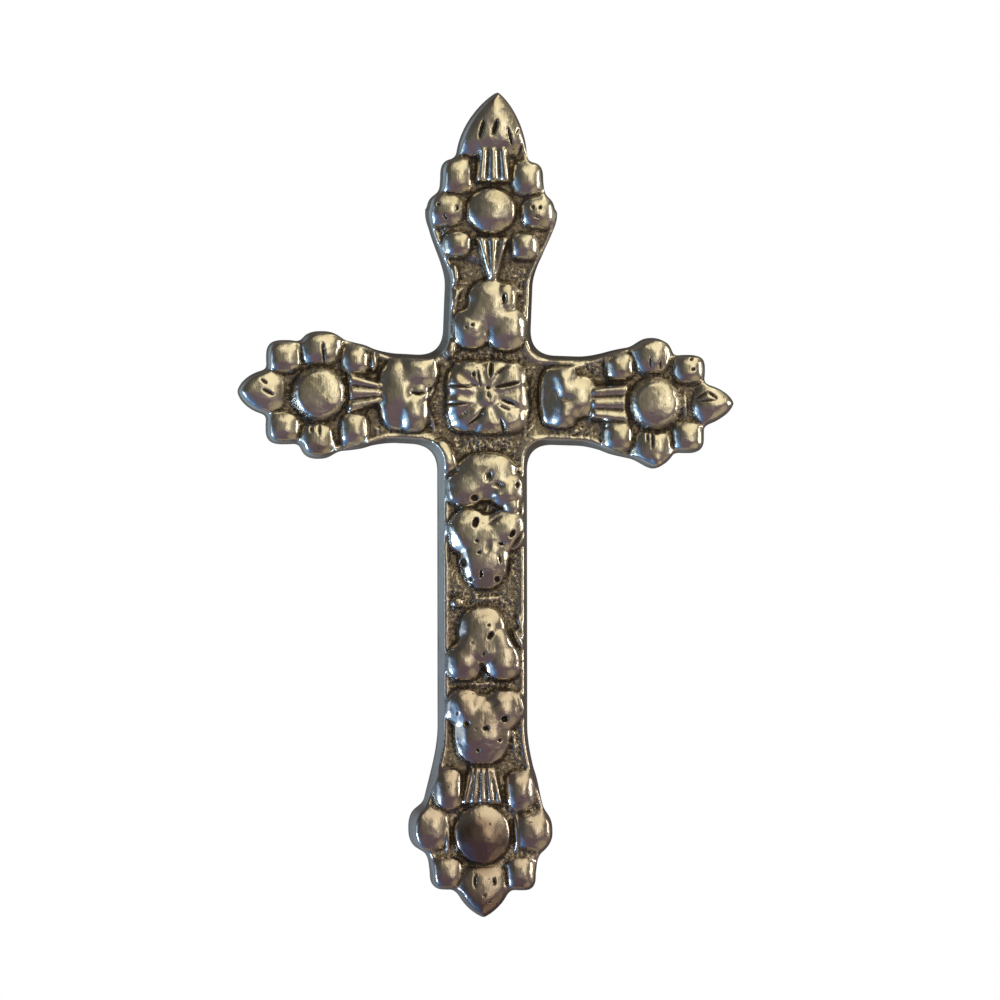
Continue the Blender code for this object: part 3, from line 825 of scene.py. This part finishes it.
# A stroke: where it starts and ends, half its width and its depth, in millimetres
STROKES = (
    # the top rosette
    (-1.2, 111.4, -3.2, 103.4, 1, 1.3),
    (4, 111.4, 2, 104.6, 1.1, 1.4),
    (8, 108.6, 10, 100.6, 0.9, 1),
    (12.8, 107.8, 11.6, 105.4, 0.6, 0.8),
    (14, 101.8, 12.8, 96.6, 0.7, 0.8),
    (18.4, 72.6, 21.2, 72.2, 0.5, 0.7),
    # the left rosette
    (-65.6, 22.6, -64.8, 13.8, 0.8, 1),
    (-90, 7.8, -87.6, 5.8, 0.7, 0.9),
    (-89.6, 3.8, -84.8, 1.4, 0.8, 1),
    (-70, -10.6, -70, -13.8, 0.6, 0.7),
    (-66.8, -10.2, -66.8, -14.6, 0.7, 0.9),
    # the right rosette
    (65.2, 17, 65.2, 12.2, 0.6, 0.8),
    (69.2, 15.8, 69.2, 11.8, 0.6, 0.8),
    (83.2, -0.2, 88.4, 3.2, 0.7, 0.8),
    (88, 3.2, 92.4, 0, 0.7, 0.9),
    (83.6, -1, 92, -0.2, 0.6, 0.7),
    (64, -13.4, 64, -17.4, 0.6, 0.7),
    (66, -13, 66, -20.2, 0.7, 1),
    # the bottom rosette
    (-4.8, -189, -4.8, -194.6, 0.8, 1.1),
    (2.8, -190.2, 2.8, -193.8, 0.8, 1.1),
    # the square flower
    (1.6, 15, 1.2, 8.2, 1, 1.3),
    (-4.1, 12.6, -2.6, 4.6, 0.6, 0.9),
    (2.8, 4.6, 13.2, 6.6, 1.1, 1.3),
    (5.4, -0.2, 11.6, -2.4, 0.9, 1.1),
    (4.8, -2.6, 9.2, -4.6, 0.6, 0.8),
    (5.2, -7.4, 7.2, -14.2, 1, 0.8),
    (-1.2, -5.8, -8, -10.6, 0.8, 0.9),
    (-0.4, -2.2, -4.4, -8.2, 0.6, 0.8),
    (-9.6, -5, -8.4, -6.2, 0.6, 0.7),
    (-17.2, -2.2, -7.6, -1.8, 1, 0.8),
    (-16, 5.4, -6, 4.6, 1, 0.8),
    (0, 3, 0.8, 0.2, 0.6, 0.8),
    (3.6, 9.4, 7.6, 13.4, 0.7, 0.7),
    # the tulips
    (6.6, 42.2, 6.4, 37.4, 0.8, 1),
    (-30.4, 2.6, -26.4, 1.8, 0.8, 1.1),
    (4.4, -61, 5.6, -66.2, 0.7, 0.8),
    (-0.4, -107, -3.2, -105, 0.7, 0.9),
)

# A pit: its middle, half its width and height, its turn to the left in degrees, and its depth, in
# millimetres. The dark pits are pinholes, and the hollows were pressed into the pattern.
PITS = (
    (-5.4, 9.8, 0.8, 1, 0, 0.9),
    (0.3, 4.5, 0.7, 0.7, 0, 0.9),
    (18.2, 76.2, 0.6, 0.8, 0, 0.9),
    (21, 76.2, 0.6, 0.8, 0, 0.9),
    (-19.6, 77.4, 0.6, 0.8, 0, 0.9),
    (-12, 75.8, 0.6, 1.2, 0, 0.9),
    (-17.2, 73, 0.6, 0.7, 0, 0.8),
    (-16.4, 71.8, 0.6, 0.6, 0, 0.8),
    (82.4, 11.8, 0.7, 0.7, 0, 0.9),
    (81.6, 15.8, 0.6, 0.6, 0, 0.8),
    (-1.2, -197.4, 0.6, 0.6, 0, 0.7),
    (0.8, -200.2, 0.6, 0.6, 0, 0.7),
    (-6, 29.4, 0.8, 0.6, -30, 1),
    (-8.4, 28.6, 0.7, 0.6, 0, 0.9),
    (-5, -39.4, 1.6, 1.4, 0, 1.3),
    (12.1, -34.2, 0.9, 1.4, 0, 1.1),
    (-4.7, -49, 1.2, 2.2, -15, 1.7),
    (10, -53.6, 1, 1.8, -35, 1.5),
    (-4.2, -56.4, 0.7, 0.7, 0, 0.9),
    (5.6, -57.6, 1.3, 0.8, 0, 1.1),
    (-3.3, -61, 1, 0.6, 30, 0.9),
    (-9.2, -65, 1.2, 1.8, 10, 1.6),
    (-2.4, -69.7, 0.8, 1.8, 0, 1.2),
    (4.1, -71.8, 1.3, 1.4, -20, 1.3),
    (-6.4, -71.8, 0.8, 1, 0, 0.9),
    (1.2, -94.1, 0.9, 1.8, -35, 1.4),
    (0.6, -90, 0.5, 0.6, 0, 0.7),
    (-1.3, -101.4, 0.7, 1.2, -20, 0.6),
    (-6, -97, 0.5, 0.5, 0, 0.5),
    (7, -127.3, 1.4, 1.4, 0, 1.7),
    (-8, -129.2, 1.1, 1.2, 0, 1.3),
    (-0.6, -131, 1.3, 0.9, 10, 1.2),
    (5, -135.8, 0.9, 0.7, 0, 0.9),
    (-3.6, -139.7, 0.9, 0.7, -30, 1),
    (-11.6, -125, 0.5, 0.5, 0, 0.6),
    (-4.4, -131.4, 0.6, 0.4, 0, 0.6),
)

HOLLOWS = (
    (0.6, -30.7, 2, 3.2, -15, 1.4),
    (4.4, -34.2, 3.2, 1.6, -15, 1.2),
    (0.4, -58.8, 1.6, 3.2, -10, 0.6),
    (-26.4, 2.2, 3.2, 1.2, 0, 1.3),
    (6.7, 39.8, 1.2, 2.4, 0, 1.2),
    (30.6, 0.2, 6, 2.2, 0, 1),
    (12, -56.6, 1.3, 6, -33, 1.6),
    (8.8, -67, 1.1, 5.6, -8, 1.4),
    (3.2, -48, 0.9, 4, -57, 0.7),
    (-0.4, -42.2, 2.8, 2, 0, 0.5),
    (-12.8, -96.2, 1.2, 5.6, 0, 0.8),
    (2.4, -121, 3.2, 1.6, 0, 0.5),
    (-5.2, 5.4, 5.6, 1, 0, 0.4),
    (23.6, 0.2, 7.6, 20, 0, 3.2),
    (-14, -12, 13, 12, 0, 1.8),
    (-36, -9, 6, 10, 0, 1.2),
    (-12, -63, 4.5, 13, 20, 1.6),
    (-11.6, -93, 4.2, 9, -12, 0.9),
    (-12.6, -131, 4.6, 14, 4, 1.1),
)

cuts = np.zeros_like(x)
for stroke in STROKES:
    cuts = np.maximum(cuts, stroke_depth(x, z, *[value * mm for value in stroke]))
lips = np.zeros_like(x)
for *pit, depth in PITS:
    away = np.hypot(*from_form(x, z, *pit))
    cuts = np.maximum(cuts, depth * mm * np.clip(1.0 - away**4, 0.0, 1.0))
    lips = np.maximum(lips, groove(away - 1.25, 0.45, PIT_LIP))
hollows = np.zeros_like(x)
for *hollow, depth in HOLLOWS:
    away = np.hypot(*from_form(x, z, *hollow))
    hollows = np.maximum(hollows, groove(away, 1.0, depth * mm))

carved = np.clip((relief - beds - 0.2 * mm) / (1.2 * mm), 0.0, 1.0)
uneven = sum(share * unevenness(x, z, apart, layer) for apart, share, layer in UNEVEN_BUMPS)
uneven = uneven * HAND_UNEVEN * np.clip(relief / (3.0 * mm), 0.0, 1.0)
height = base + relief + uneven + field * (1.0 - carved) + FLANK_GRAINS * grains * flanks
height = height - cuts + lips - hollows

# ---- The patina's places ----
# Dark patina was wiped over the whole cross and polished off the high parts, so it is left where
# the surface is sunk below what lies round it, and all over the rough field.

# How far sunk the darkest places are, how high the clean crests, and how deep a dark cut is
SUNK_NEARBY = 0.26 * mm
SUNK_FAR_ROUND = 3.6 * mm
CREST = 0.15 * mm
CLEAN_RIM = 1.0 * mm
DARK_CUT = 0.6 * mm

# The patina's shares on the field, its crests and the domes' rough flanks. Going down the shaft it
# starts to thin at this length above this height, to half and no less.
FIELD_PATINA = 0.46
CREST_CLEANED = 0.34
FLANK_PATINA = 0.34
FOOT_THIN_AT = -176.0 * mm
FOOT_THINS_OVER = 30.0 * mm

sunk = np.clip((blurred(height, 5) - height) / SUNK_NEARBY - 0.1, 0.0, 1.0)
hollow = np.clip((blurred(height, 40) - height) / SUNK_FAR_ROUND - 0.1, 0.0, 0.6)
within = np.clip(room / CLEAN_RIM, 0.0, 1.0)
crest = np.clip((height - blurred(height, 10)) / CREST, 0.0, 1.0)
bare = (1.0 - carved) * dipped * np.clip((z - FOOT_THIN_AT) / FOOT_THINS_OVER, 0.5, 1.0)
on_field = (FIELD_PATINA - CREST_CLEANED * crest) * bare
patina = np.maximum(on_field, np.maximum(0.8 * sunk, hollow) * within)
patina = np.maximum(patina, FLANK_PATINA * flanks)
patina = np.clip(np.maximum(patina, cuts / DARK_CUT), 0.0, 1.0)

# ---- The walls and the back ----
# The wall round the casting leans out to the flat back, as a mould needs. It is as it came from
# the sand and a file: slightly wavy, with a thin patina, and made darker on the upper part of the
# cross.

WALL_RINGS = 5
WALL_WAVE = 0.30 * mm

# The patina's shares on the back's edge and on the wall, which is darker from this height up
BACK_PATINA = 0.3
WALL_PATINA = 0.12
UPPER_WALL_MORE = 0.28
UPPER_WALL_AT = -24.0
UPPER_WALL_GROWS_OVER = 14.0

for vert, tall, dark in zip(face, height, patina):
    vert.co.y = -tall
    vert[patina_layer] = dark
rim = [e for e in casting.edges if e.is_boundary]
extruded = bmesh.ops.extrude_edge_only(casting, edges=rim)["geom"]
foot = [g for g in extruded if isinstance(g, bmesh.types.BMVert)]
put_on_edge(foot, inside_outline)
for vert in foot:
    vert.co.y = 0.0
    vert[patina_layer] = BACK_PATINA
foot_set = set(foot)
foot_edges = [e for e in casting.edges if e.is_boundary]
upright_edges = [e for v in foot for e in v.link_edges if e.other_vert(v) not in foot_set]
rings = bmesh.ops.subdivide_edges(
    casting, edges=upright_edges, cuts=WALL_RINGS - 1, use_grid_fill=True
)["geom_inner"]
wall = [g for g in rings if isinstance(g, bmesh.types.BMVert)]
for vert in wall:
    upper = min(max((vert.co.z / mm - UPPER_WALL_AT) / UPPER_WALL_GROWS_OVER, 0.0), 1.0)
    vert[patina_layer] = WALL_PATINA + UPPER_WALL_MORE * upper
    at = Vector((vert.co.x / 12, vert.co.y / 2, vert.co.z / 12)) / mm
    vert.co.x += WALL_WAVE * noise.noise(at)
    vert.co.z += WALL_WAVE * noise.noise(at + Vector((50.0, 0.0, 0.0)))

# ---- The nail pocket ----
# A blind slot in the back of the upper arm hangs over a nail's head. Its top leans up into the
# metal, so the cross can't slip off.

POCKET_HEIGHT = 64.0 * mm
POCKET_WIDTH = 9.0 * mm
POCKET_DROP = 12.0 * mm
POCKET_DEPTH = 6.5 * mm
POCKET_UNDERCUT = 1.5 * mm

back = bmesh.ops.edgeloop_fill(casting, edges=foot_edges)["faces"]


def back_piece(x, z):
    """The piece of the flat back that covers this place."""
    flat = [f for f in casting.faces if all(abs(v.co.y) < 0.001 * mm for v in f.verts)]
    return min(flat, key=lambda f: math.dist(f.calc_center_bounds().xz, (x, z)))


def split_back(piece, place, across):
    geometry = [piece, *piece.edges, *piece.verts]
    bmesh.ops.bisect_plane(casting, geom=geometry, plane_co=place, plane_no=across)


pocket_middle = POCKET_HEIGHT - POCKET_DROP / 2
split_back(back[0], (0, 0, POCKET_HEIGHT), (0, 0, 1))
split_back(back_piece(0, -40 * mm), (0, 0, POCKET_HEIGHT - POCKET_DROP), (0, 0, 1))
split_back(back_piece(0, pocket_middle), (-POCKET_WIDTH / 2, 0, 0), (1, 0, 0))
split_back(back_piece(5 * mm, pocket_middle), (POCKET_WIDTH / 2, 0, 0), (1, 0, 0))
mouth = back_piece(0, pocket_middle)
deep = bmesh.ops.extrude_face_region(casting, geom=[mouth, *mouth.edges])["geom"]
deep_verts = [g for g in deep if isinstance(g, bmesh.types.BMVert)]
for vert in deep_verts:
    vert[patina_layer] = 0.7
    vert.co.y = -POCKET_DEPTH
    if vert.co.z > pocket_middle:
        vert.co.z += POCKET_UNDERCUT
corners = [e for v in deep_verts for e in v.link_edges if e.other_vert(v) not in deep_verts]
round_off = POCKET_WIDTH * 0.3
bmesh.ops.bevel(
    casting, geom=corners, offset=round_off, segments=3, profile=0.5, affect="EDGES", material=-1
)
many_sided = [f for f in casting.faces if len(f.verts) > 4]
bmesh.ops.triangulate(casting, faces=many_sided, quad_method="BEAUTY", ngon_method="BEAUTY")
bmesh.ops.recalc_face_normals(casting, faces=casting.faces)
for piece in casting.faces:
    on_back = all(v.co.y > -0.01 * mm for v in piece.verts)
    piece.smooth = not on_back


def add_object(name, mesh):
    data = bpy.data.meshes.new(name)
    mesh.to_mesh(data)
    mesh.free()
    made = bpy.data.objects.new(name, data)
    bpy.context.scene.collection.objects.link(made)
    return made


cross = add_object("casting", casting)
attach(cross, "root")
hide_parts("cross")

# ---- The metal ----
# A pale cast metal with a dark brown patina. The high parts are polished and show fine scratches
# and small dents. The patina is dull and crusty, with bright specks where the wheel caught it.

POLISHED = (0.70, 0.665, 0.59, 1.0)
WARM_TARNISH = (0.52, 0.465, 0.36, 1.0)
# A purple-brown tint that grows towards the foot
FOOT_TINT = (0.46, 0.375, 0.355, 1.0)
DARK_TARNISH = (0.25, 0.21, 0.165, 1.0)
# The dark brown of the painted shade on the foot's dome, and of the darker tip
DEEP_BROWN = (0.27, 0.20, 0.18, 1.0)
PATINA = (0.050, 0.036, 0.022, 1.0)

# A purple-brown tint grows downwards between these heights. Painted shade darkens the foot's dome
# round a place, solid to the first distance and gone at the second, so its upper right stays
# bright, and the foot grows darker towards its tip.
FOOT_TINT_FROM = -30.0 * mm
FOOT_TINT_FULL = -130.0 * mm
DOME_SHADE_AT = (-3.0 * mm, -16.0 * mm, -178.0 * mm)
DOME_SHADE_SOLID = 9.0 * mm
DOME_SHADE_GONE = 14.0 * mm
TIP_DARKER_FROM = -188.0 * mm
TIP_DARKER_FULL = -202.0 * mm

metal =bpy.data.materials.new("polished_cast_metal")
metal.use_nodes = True
nodes = metal.node_tree.nodes
links = metal.node_tree.links
shader = nodes["Principled BSDF"]
place = nodes.new("ShaderNodeTexCoord")
dark = nodes.new("ShaderNodeAttribute")
dark.attribute_name = "patina"


def feed(socket, value):
    """Gives a socket the output of another node, or a fixed value."""
    if isinstance(value, bpy.types.NodeSocket):
        links.new(value, socket)
    else:
        socket.default_value = value


def mottle(scale, detail, roughness=0.5, over=place.outputs["Object"]):
    """A noise over the surface, from 0 to 1, with this many bumps to the metre."""
    texture = nodes.new("ShaderNodeTexNoise")
    texture.inputs["Scale"].default_value = scale
    texture.inputs["Detail"].default_value = detail
    texture.inputs["Roughness"].default_value = roughness
    links.new(over, texture.inputs["Vector"])
    return texture.outputs["Fac"]


def spread(value, low, high, from_value, to_value):
    """The value mapped smoothly from low..high to from_value..to_value."""
    node = nodes.new("ShaderNodeMapRange")
    node.interpolation_type = "SMOOTHSTEP"
    links.new(value, node.inputs["Value"])
    for name, number in (
        ("From Min", low), ("From Max", high), ("To Min", from_value), ("To Max", to_value)
    ):
        node.inputs[name].default_value = number
    return node.outputs["Result"]


def blend(share, first, second):
    """A colour between the first and the second, either of which may be a fixed colour."""
    node = nodes.new("ShaderNodeMix")
    node.data_type = "RGBA"
    links.new(share, node.inputs["Factor"])
    feed(node.inputs["A"], first)
    feed(node.inputs["B"], second)
    return node.outputs["Result"]


def worked_out(operation, *values):
    """The outcome of a sum on these values, any of which may be a fixed number."""
    node = nodes.new("ShaderNodeMath")
    node.operation = operation
    for socket, value in zip(node.inputs, values):
        feed(socket, value)
    return node.outputs[0]


def bump(height, distance, strength):
    """A bump of this height and strength. It lies over what its Normal is then given."""
    node = nodes.new("ShaderNodeBump")
    node.inputs["Distance"].default_value = distance
    feed(node.inputs["Strength"], strength)
    links.new(height, node.inputs["Height"])
    return node


# The specks make the patina's edge ragged
specks = worked_out("MULTIPLY_ADD", mottle(1100.0, 5.0, 0.65), -1.3, 0.65)
ragged = worked_out("ADD", dark.outputs["Fac"], specks)
covered = spread(ragged, 0.45, 0.9, 0.0, 0.95)
pinholes = spread(mottle(620.0, 1.0), 0.72, 0.77, 0.0, 0.8)
covered = worked_out("MAXIMUM", covered, pinholes)

place_along = nodes.new("ShaderNodeSeparateXYZ")
links.new(place.outputs["Object"], place_along.inputs[0])
up = place_along.outputs["Z"]
tarnish = spread(mottle(120.0, 3.0), 0.45, 0.75, 0.0, 0.8)
polished = blend(tarnish, POLISHED, WARM_TARNISH)
# The purple-brown tint, stronger down the shaft towards the foot
on_foot = spread(up, FOOT_TINT_FROM, FOOT_TINT_FULL, 0.0, 0.65)
polished = blend(on_foot, polished, FOOT_TINT)
# Painted shade: the foot's dome is darkened round a place, so only its upper right stays bright
from_dome_shade = nodes.new("ShaderNodeVectorMath")
from_dome_shade.operation = "DISTANCE"
links.new(place.outputs["Object"], from_dome_shade.inputs[0])
from_dome_shade.inputs[1].default_value = DOME_SHADE_AT
dome_shade = spread(from_dome_shade.outputs["Value"], DOME_SHADE_SOLID, DOME_SHADE_GONE, 0.95, 0.0)
polished = blend(dome_shade, polished, DEEP_BROWN)
# The foot grows darker towards its tip
polished = blend(spread(up, TIP_DARKER_FROM, TIP_DARKER_FULL, 0.0, 0.85), polished, DEEP_BROWN)
polished = blend(spread(dark.outputs["Fac"], 0.05, 0.5, 0.0, 1.0), polished, DARK_TARNISH)
links.new(blend(covered, polished, PATINA), shader.inputs["Base Color"])
links.new(spread(covered, 0.0, 1.0, 1.0, 0.55), shader.inputs["Metallic"])

smears = spread(mottle(260.0, 4.0), 0.35, 0.7, 0.10, 0.24)
rough_mix = nodes.new("ShaderNodeMix")
links.new(covered, rough_mix.inputs["Factor"])
links.new(smears, rough_mix.inputs["A"])
rough_mix.inputs["B"].default_value = 0.62
links.new(rough_mix.outputs["Result"], shader.inputs["Roughness"])

# Scratches run up and down, dents lie over them, and the patina's crumbs over both
stretched = nodes.new("ShaderNodeMapping")
stretched.inputs["Scale"].default_value = (1.0, 1.0, 0.07)
stretched.inputs["Rotation"].default_value = (0.0, 0.12, 0.0)
links.new(place.outputs["Object"], stretched.inputs["Vector"])
scratches = bump(mottle(1500.0, 2.0, over=stretched.outputs["Vector"]), 0.3 * mm, 0.12)
dents = bump(mottle(330.0, 3.0), 0.35 * mm, 0.6)
crumbliness = spread(dark.outputs["Fac"], 0.04, 0.4, 0.05, 0.9)
crumbly = bump(mottle(1100.0, 4.0, 0.6), 0.5 * mm, crumbliness)
links.new(scratches.outputs["Normal"], dents.inputs["Normal"])
links.new(dents.outputs["Normal"], crumbly.inputs["Normal"])
links.new(crumbly.outputs["Normal"], shader.inputs["Normal"])
cross.data.materials.append(metal)

# ---- The studio ----
# The cross hangs in front of a white ground, over a plain pale floor. A cool window stands low on
# the left and a warm one on the right, and the room is dim in front.

FLOOR_LEVEL = -3.0

floor_mesh = bmesh.new()
bmesh.ops.create_grid(floor_mesh, x_segments=2, y_segments=2, size=0.8)
for vert in floor_mesh.verts:
    vert.co.z = FLOOR_LEVEL
floor = add_object("floor", floor_mesh)
pale = bpy.data.materials.new("pale_floor")
pale.use_nodes = True
shader = pale.node_tree.nodes["Principled BSDF"]
shader.inputs["Base Color"].default_value = (0.75, 0.74, 0.72, 1)
shader.inputs["Roughness"].default_value = 0.8
floor.data.materials.append(pale)

AIM = Vector((6.2 * mm, 0.0, -40.2 * mm))

# What the cross sees of the room from left to right: where, from 0 to 1, and its colour
WALLS = (
    (0.22, (0.09, 0.088, 0.075, 1)),
    (0.40, (0.21, 0.19, 0.145, 1)),
    (0.54, (0.30, 0.27, 0.205, 1)),
    (0.60, (0.80, 0.72, 0.50, 1)),
    (0.70, (1.75, 1.58, 1.14, 1)),
    (0.80, (0.70, 0.62, 0.44, 1)),
    (0.90, (0.20, 0.17, 0.13, 1)),
)

# What lies over the walls, each over the last: which way it is, the cosines of the angle from there
# at which it starts and is full, and its colour
ROOM = (
    ((0.30, -0.60, 0.70), 0.80, 0.97, (1.30, 1.15, 0.78, 1)),
    ((-0.6, -0.1, 0.8), 0.55, 0.95, (0.09, 0.082, 0.075, 1)),
    ((0.1, -0.2, -1.0), 0.14, 0.58, (0.175, 0.13, 0.155, 1)),
    ((0.6, -0.4, -0.7), 0.87, 0.985, (0.48, 0.40, 0.27, 1)),
    ((-0.8, -0.1, -0.55), 0.60, 0.90, (0.10, 0.22, 0.50, 1)),
    ((-0.85, -0.2, -0.5), 0.84, 0.99, (0.45, 0.80, 1.25, 1)),
    ((-1.0, -0.12, -0.15), 0.93, 0.99, (0.75, 0.98, 1.2, 1)),
)


def soft_light(name, place, width, height, power, colour):
    """A rectangular soft light at this place, turned to the cross."""
    data = bpy.data.lights.new(name, "AREA")
    data.shape = "RECTANGLE"
    data.size, data.size_y = width, height
    data.energy = power
    data.color = colour
    lamp = bpy.data.objects.new(name, data)
    lamp.location = place
    lamp.rotation_euler = (AIM - lamp.location).to_track_quat("-Z", "Y").to_euler()
    bpy.context.scene.collection.objects.link(lamp)


soft_light("cool_window", Vector((-1.3, -0.25, -0.75)), 0.35, 0.45, 9.0, (0.62, 0.80, 1.0))
soft_light("warm_window", Vector((1.4, -0.25, 0.15)), 0.3, 0.8, 4.5, (1.0, 0.92, 0.76))

world = bpy.data.worlds.new("room")
world.use_nodes = True
nodes = world.node_tree.nodes
links = world.node_tree.links
toward = nodes.new("ShaderNodeTexCoord").outputs["Generated"]


def facing(way, low, high):
    """How far a direction faces this way, smoothly from 0 at the low cosine to 1 at the high."""
    node = nodes.new("ShaderNodeVectorMath")
    node.operation = "DOT_PRODUCT"
    links.new(toward, node.inputs[0])
    node.inputs[1].default_value = Vector(way).normalized()
    return spread(node.outputs["Value"], low, high, 0.0, 1.0)


across = nodes.new("ShaderNodeSeparateXYZ")
links.new(toward, across.inputs[0])
from_left = nodes.new("ShaderNodeMapRange")
from_left.inputs["From Min"].default_value = -1.0
links.new(across.outputs["X"], from_left.inputs["Value"])
wall_colours = nodes.new("ShaderNodeValToRGB")
links.new(from_left.outputs["Result"], wall_colours.inputs["Fac"])
ramp = wall_colours.color_ramp
ramp.interpolation = "EASE"
ramp.elements[0].position, ramp.elements[0].color = 0.0, (0.12, 0.16, 0.20, 1)
ramp.elements[1].position, ramp.elements[1].color = 1.0, (0.50, 0.46, 0.38, 1)
for spot, colour in WALLS:
    ramp.elements.new(spot).color = colour
room_colour = wall_colours.outputs["Color"]
for way, low, high, colour in ROOM:
    room_colour = blend(facing(way, low, high), room_colour, colour)
behind = blend(facing((-1.0, 0.3, -0.45), 0.15, 0.8), (0.11, 0.10, 0.09, 1), (0.31, 0.39, 0.47, 1))
room_colour = blend(facing((0.0, 1.0, 0.0), 0.1, 0.7), room_colour, behind)
dim = nodes["Background"]
links.new(room_colour, dim.inputs["Color"])
white = nodes.new("ShaderNodeBackground")
white.inputs["Color"].default_value = (1.0, 1.0, 1.0, 1.0)
ray = nodes.new("ShaderNodeLightPath")
either = nodes.new("ShaderNodeMixShader")
links.new(ray.outputs["Is Camera Ray"], either.inputs["Fac"])
links.new(dim.outputs["Background"], either.inputs[1])
links.new(white.outputs["Background"], either.inputs[2])
links.new(either.outputs["Shader"], nodes["World Output"].inputs["Surface"])
bpy.context.scene.world = world
bpy.context.scene.view_settings.view_transform = "Standard"

CAMERA_AWAY = 2.4
CAMERA_YAW = math.radians(4.6)
camera_data = bpy.data.cameras.new("camera")
camera_data.lens = 216.0
camera_data.sensor_width = 36.0
camera = bpy.data.objects.new("camera", camera_data)
camera.location = AIM + CAMERA_AWAY * Vector((-math.sin(CAMERA_YAW), -math.cos(CAMERA_YAW), 0.0))
camera.rotation_euler = (AIM - camera.location).to_track_quat("-Z", "Y").to_euler()
bpy.context.scene.collection.objects.link(camera)
bpy.context.scene.camera = camera
